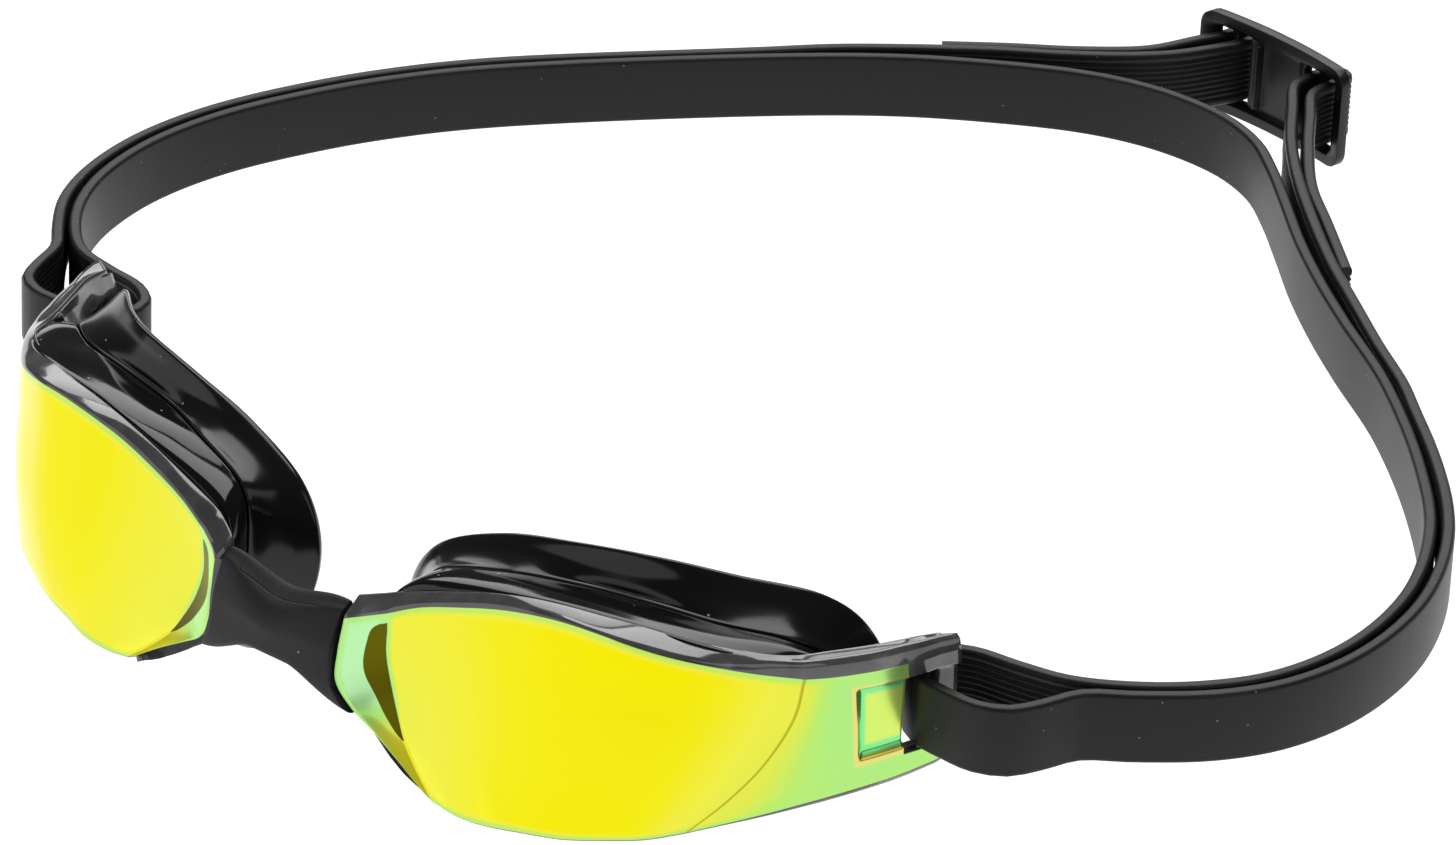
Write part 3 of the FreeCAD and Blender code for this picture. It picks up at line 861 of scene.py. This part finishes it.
buckle_turn = flat([(8.0, -4.8), (7.3, -1.6), (7.2, 1.2), (7.6, 3.0), (9.1, 3.9), (10.6, 3.0),
                    (11.0, 1.2), (11.0, -1.6), (11.8, -5.0)])
tail_right = flat([(9.0, 207.4), (14.4, 199.6), (22.2, 189.7), (31.6, 180.8), (42.0, 170.9)])
tail_left = flat([(-22.8, 211.0), (-29.8, 203.4), (-38.5, 196.4), (-45.6, 190.2)])
for p in tail_left:
    p.z = -0.7
for p in tail_right[2:]:
    p.z = -0.4


def at_buckle(rows):
    turn = Matrix.Rotation(buckle_turned, 3, "Z")
    return [turn @ p + Vector((buckle_x, buckle_y, 0)) for p in rows]


outer_right = beside(rounded(inner_right, 8.0), strand_pitch)
outer_left = beside(rounded(inner_left, 8.0), strand_pitch)
left_end = to_buckle_left + at_buckle(mirrored(buckle_turn)) + tail_left
right_end = to_buckle_right + at_buckle(buckle_turn) + tail_right
left_half = left_end[::-1] + outer_left + mirrored(post_turn)
right_half = post_turn[::-1] + outer_right + right_end
path = rounded(left_half + inner_left[::-1] + inner_back[::-1] + inner_right[::-1] + right_half)

path_mesh = bpy.data.meshes.new("band_path")
path_mesh.from_pydata([p / 1000 for p in path], [(i, i + 1) for i in range(len(path) - 1)], [])
strap = placed("band", path_mesh)

# the section: a rounded bar whose left-hand face carries shallow ribs between two plain edges
half_w, half_t, soft = 4.9, band_thick / 2, 0.62


def corner(cx, cy, start):
    """Points of a rounded corner about a centre, from a starting angle."""
    angles = [math.radians(start + 15 * k) for k in range(7)]
    return [(cx + soft * math.cos(a), cy + soft * math.sin(a)) for a in angles]


outline = corner(half_t - soft, half_w - soft, 0) + corner(-half_t + soft, half_w - soft, 90)
ribs, rib_span, rib_steps, groove_depth = 9, 7.6, 6, 0.30
for k in range(ribs * rib_steps + 1):
    y = rib_span / 2 - rib_span * k / (ribs * rib_steps)
    groove = groove_depth * (0.5 - 0.5 * math.cos(2 * math.pi * k / rib_steps)) ** 0.8
    outline.append((-half_t + groove, y))
outline += corner(-half_t + soft, -half_w + soft, 180) + corner(half_t - soft, -half_w + soft, 270)
profile_mesh = bpy.data.meshes.new("band_section")
profile_mesh.from_pydata([(x / 1000, y / 1000, 0) for x, y in outline],
                         [(i, (i + 1) % len(outline)) for i in range(len(outline))], [])
profile = placed("band_section", profile_mesh)

silicone = moulded_black("satin silicone black", (0.009, 0.009, 0.0092), (0.16, 0.16, 0.15),
                         (0.38, 0.50), 0.26, (4200.0, 0.25), (0.25, 0.0001), (0.055, 0.3))

sweep = bpy.data.node_groups.new("sweep a section", "GeometryNodeTree")
sweep.interface.new_socket("Geometry", in_out="INPUT", socket_type="NodeSocketGeometry")
section_in = sweep.interface.new_socket("Section", in_out="INPUT", socket_type="NodeSocketObject")
finish_in = sweep.interface.new_socket("Finish", in_out="INPUT", socket_type="NodeSocketMaterial")
sweep.interface.new_socket("Geometry", in_out="OUTPUT", socket_type="NodeSocketGeometry")
nodes, geometry = sweep.nodes, "GeometryNode"
gin, gout = nodes.new("NodeGroupInput"), nodes.new("NodeGroupOutput")
to_curve = add(nodes, "MeshToCurve", {"Mesh": gin.outputs["Geometry"]}, geometry)
upright = add(nodes, "SetCurveNormal", {"Curve": to_curve.outputs["Curve"]}, geometry, mode="Z_UP")
get_section = add(nodes, "ObjectInfo", {"Object": gin.outputs["Section"]}, geometry)
section_curve = add(nodes, "MeshToCurve", {"Mesh": get_section.outputs["Geometry"]}, geometry)
swept = add(nodes, "CurveToMesh", {
    "Fill Caps": True, "Curve": upright.outputs["Curve"],
    "Profile Curve": section_curve.outputs["Curve"]}, geometry)
real = add(nodes, "RealizeInstances", {"Geometry": swept.outputs["Mesh"]}, geometry)
dressed = add(nodes, "SetMaterial", {
    "Geometry": real.outputs["Geometry"], "Material": gin.outputs["Finish"]}, geometry)
fill(gout, {"Geometry": dressed.outputs["Geometry"]})
run = strap.modifiers.new("sweep", "NODES")
run.node_group = sweep
run[section_in.identifier] = profile
run[finish_in.identifier] = silicone
depsgraph = bpy.context.evaluated_depsgraph_get()
swept_mesh = bpy.data.meshes.new_from_object(strap.evaluated_get(depsgraph))
bpy.data.objects.remove(strap)
bpy.data.objects.remove(profile)
lean = (Matrix.Translation(at(0, 45, band_height)) @ Matrix.Rotation(-band_tilt, 4, "X")
        @ Matrix.Translation(Vector((0, -45, 0)) / 1000))
swept_mesh.transform(lean)


temple_cut, loop_cut = 61.0, 200.3   # depths at which the band is parted into pieces


def band_piece(name, low, high, half=0):
    """The swept band between two depths, closed where it is parted; half 1 is right, -1 left, 0 both."""
    bm = bmesh.new()
    bm.from_mesh(swept_mesh)
    for depth, keep_above in ((low, True), (high, False)):
        if depth is None:
            continue
        plane = at(0, depth, 0)
        cut = bmesh.ops.bisect_plane(bm, geom=bm.verts[:] + bm.edges[:] + bm.faces[:], plane_co=plane,
                                     plane_no=(0, -1, 0) if keep_above else (0, 1, 0), clear_outer=True)
        edges = [e for e in cut["geom_cut"] if isinstance(e, bmesh.types.BMEdge)]
        caps = bmesh.ops.edgeloop_fill(bm, edges=edges)
        for f in caps["faces"]:
            f.smooth = False
            for e in f.edges:
                e.smooth = False
    if half:
        gone = [v for v in bm.verts if v.co.x * half < 0]
        bmesh.ops.delete(bm, geom=gone, context="VERTS")
    for f in bm.faces:
        if len(f.verts) == 4:
            f.smooth = True
    made = finished(name, bm)
    made.data.materials.append(silicone)
    return made


for side, sign in (("right", 1), ("left", -1)):
    piece = band_piece("band_temple_" + side, None, temple_cut, sign)
    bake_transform(piece)
middle = band_piece("band_loop", temple_cut, loop_cut)
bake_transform(middle)
rear_turns = band_piece("band_buckle_turns", loop_cut, None)
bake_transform(rear_turns)
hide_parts("band")

# ---- buckle -----------------------------------------------------------------------------
# A moulded ladder plate: two slots either side of a web, a bar in each for the band to fold
# over, a raised lip along the top and bottom and end flanges that curl towards the head.
half_long, half_tall, turned = 15.0, 7.75, 2.4
x_lines = [-15.0, -14.6, -13.9, -13.0, -12.3, -11.0, -9.7, -9.3, -8.9, -8.5, -7.2, -5.9, -5.6, -5.2, -4.3,
           -4.0, -3.6, -3.3, -1.6]
x_lines = x_lines + [-x for x in x_lines[::-1]]
z_lines = [-7.75, -7.35, -6.9, -6.2, -5.5, -5.0, -4.6, -2.3, 0, 2.3, 4.6, 5.0, 5.5, 6.2, 6.9, 7.35, 7.75]


def in_slot(x0, x1, z0, z1):
    """Whether the cell between two grid lines each way lies in an opening."""
    mx, mz = abs(x0 + x1) / 2, abs(z0 + z1) / 2
    return mz < 5.5 and (5.9 < mx < 8.5 or 9.7 < mx < 12.3)


def buckle_front(x, z):
    """How far the plate's head side stands towards the head at a place."""
    ax, az = abs(x), abs(z)
    lift = 0.1 + 1.3 * (ax / half_long) ** 2 + 0.9 * max(ease((az - 5.4) / 0.7), ease((ax - 12.4) / 1.0))
    if az < 5.4:
        lift += 1.3 * ease((x + 4.3) / 0.25) * ease((-3.3 - x) / 0.25)
        lift += 0.5 * ease((ax - 5.0) / 0.2) * ease((5.9 - ax) / 0.2)
    return -lift


bm = bmesh.new()
verts = {}
for side_y in (0, 1):
    for x in x_lines:
        for z in z_lines:
            ax, az = abs(x), abs(z)
            px, pz = x, z
            if ax > half_long - turned and az > half_tall - turned:
                dx, dz = ax - (half_long - turned), az - (half_tall - turned)
                m = max(dx, dz)
                length = math.hypot(dx, dz) or 1
                px = math.copysign(half_long - turned + dx / length * m, x)
                pz = math.copysign(half_tall - turned + dz / length * m, z)
            y = buckle_front(x, z) if side_y == 0 else 0.9 - 1.4 * (ax / half_long) ** 2
            spot = at_buckle([Vector((px, y, 0))])[0] + Vector((0, 0, pz))
            verts[side_y, x, z] = bm.verts.new(lean @ (spot / 1000))
for xa, xb in zip(x_lines, x_lines[1:]):
    for za, zb in zip(z_lines, z_lines[1:]):
        if in_slot(xa, xb, za, zb):
            continue
        bm.faces.new([verts[0, xa, za], verts[0, xb, za], verts[0, xb, zb], verts[0, xa, zb]])
        bm.faces.new([verts[1, xa, za], verts[1, xa, zb], verts[1, xb, zb], verts[1, xb, za]])
# walls round the plate and inside the slots join each front edge to the one behind it
behind = {verts[0, x, z]: verts[1, x, z] for x in x_lines for z in z_lines}
for a, b in [e.verts for e in bm.edges if e.is_boundary and e.verts[0] in behind]:
    bm.faces.new([a, b, behind[b], behind[a]])
bmesh.ops.delete(bm, geom=[v for v in bm.verts if not v.link_faces], context="VERTS")
bmesh.ops.recalc_face_normals(bm, faces=bm.faces)
edge_round = 0.00035
sharp = [e for e in bm.edges if e.calc_face_angle(0) > math.radians(50)]
bmesh.ops.bevel(bm, geom=sharp, offset=edge_round, segments=3, profile=0.5, affect="EDGES",
                clamp_overlap=True)
for f in bm.faces:
    f.smooth = True
plate = finished("buckle_plate", bm, outward=False)
buckle_black = gloss_black("buckle black", (0.006, 0.006, 0.006), 0.34, 0.2)
plate.data.materials.append(buckle_black)
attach(plate, "buckle")
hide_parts("buckle")

# ---- floor, light and camera ------------------------------------------------------------
# A pale sheet, low enough that the band clears it when it is swung right down, with a soft
# light overhead, one behind, one beside and a wide one in front for the mirror coat to show.
floor_height = -0.055
bm = bmesh.new()
bmesh.ops.create_grid(bm, x_segments=4, y_segments=4, size=4.0)
bmesh.ops.translate(bm, verts=bm.verts, vec=(0, 0, floor_height))
floor = finished("floor", bm, outward=False)
paper, nodes, shader = material("pale paper")
place = add(nodes, "TexCoord")
fibre = add(nodes, "TexNoise", {"Scale": 40.0, "Vector": place.outputs["Object"]})
pale = ramp(nodes, fibre.outputs["Fac"], [(0.0, (0.23, 0.23, 0.23)), (1.0, (0.25, 0.25, 0.25))])
fill(shader, {
    "Base Color": pale.outputs["Color"], "Roughness": 0.9, "Specular IOR Level": 0.1,
    "Emission Color": (1, 1, 1, 1), "Emission Strength": 1.0})
floor.data.materials.append(paper)


def soft_light(name, place, aim, width, height, power):
    """A soft rectangular light at a place, facing another."""
    data = bpy.data.lights.new(name, "AREA")
    data.shape = "RECTANGLE"
    data.size, data.size_y, data.energy = width, height, power
    lamp = placed(name, data)
    lamp.location = place
    lamp.rotation_euler = (Vector(aim) - Vector(place)).to_track_quat("-Z", "Y").to_euler()


soft_light("overhead", (-0.2, 0.5, 1.3), (0, 0, 0), 1.3, 0.9, 18)
soft_light("beside", (1.2, -0.3, 0.7), (0, 0, 0), 0.6, 0.9, 2)
soft_light("front", (-0.8, -1.6, 0.55), (0, -0.1, 0.1), 3.6, 1.3, 16)
soft_light("behind", (-1.5, 1.8, 1.35), (0, 0, 0), 2.4, 1.3, 26)

world = bpy.data.worlds.new("studio")
bpy.context.scene.world = world
world.use_nodes = True
world.node_tree.nodes["Background"].inputs["Color"].default_value = (0.05, 0.05, 0.05, 1)
world.node_tree.nodes["Background"].inputs["Strength"].default_value = 1.0

azimuth, elevation = math.radians(40.32), math.radians(30)
back_dir = Vector((math.sin(azimuth) * math.cos(elevation), -math.cos(azimuth) * math.cos(elevation),
                   math.sin(elevation)))
aim, distance = Vector((0.0235, -0.0515, 0.0322)), 0.9706
lens_data = bpy.data.cameras.new("camera")
lens_data.lens, lens_data.sensor_width = 185.44, 36.0
lens_data.clip_start, lens_data.clip_end = 0.05, 20.0
camera = placed("camera", lens_data)
camera.location = aim + back_dir * distance
camera.rotation_euler = (-back_dir).to_track_quat("-Z", "Y").to_euler()
bpy.context.scene.camera = camera
bpy.context.scene.view_settings.view_transform = "Standard"
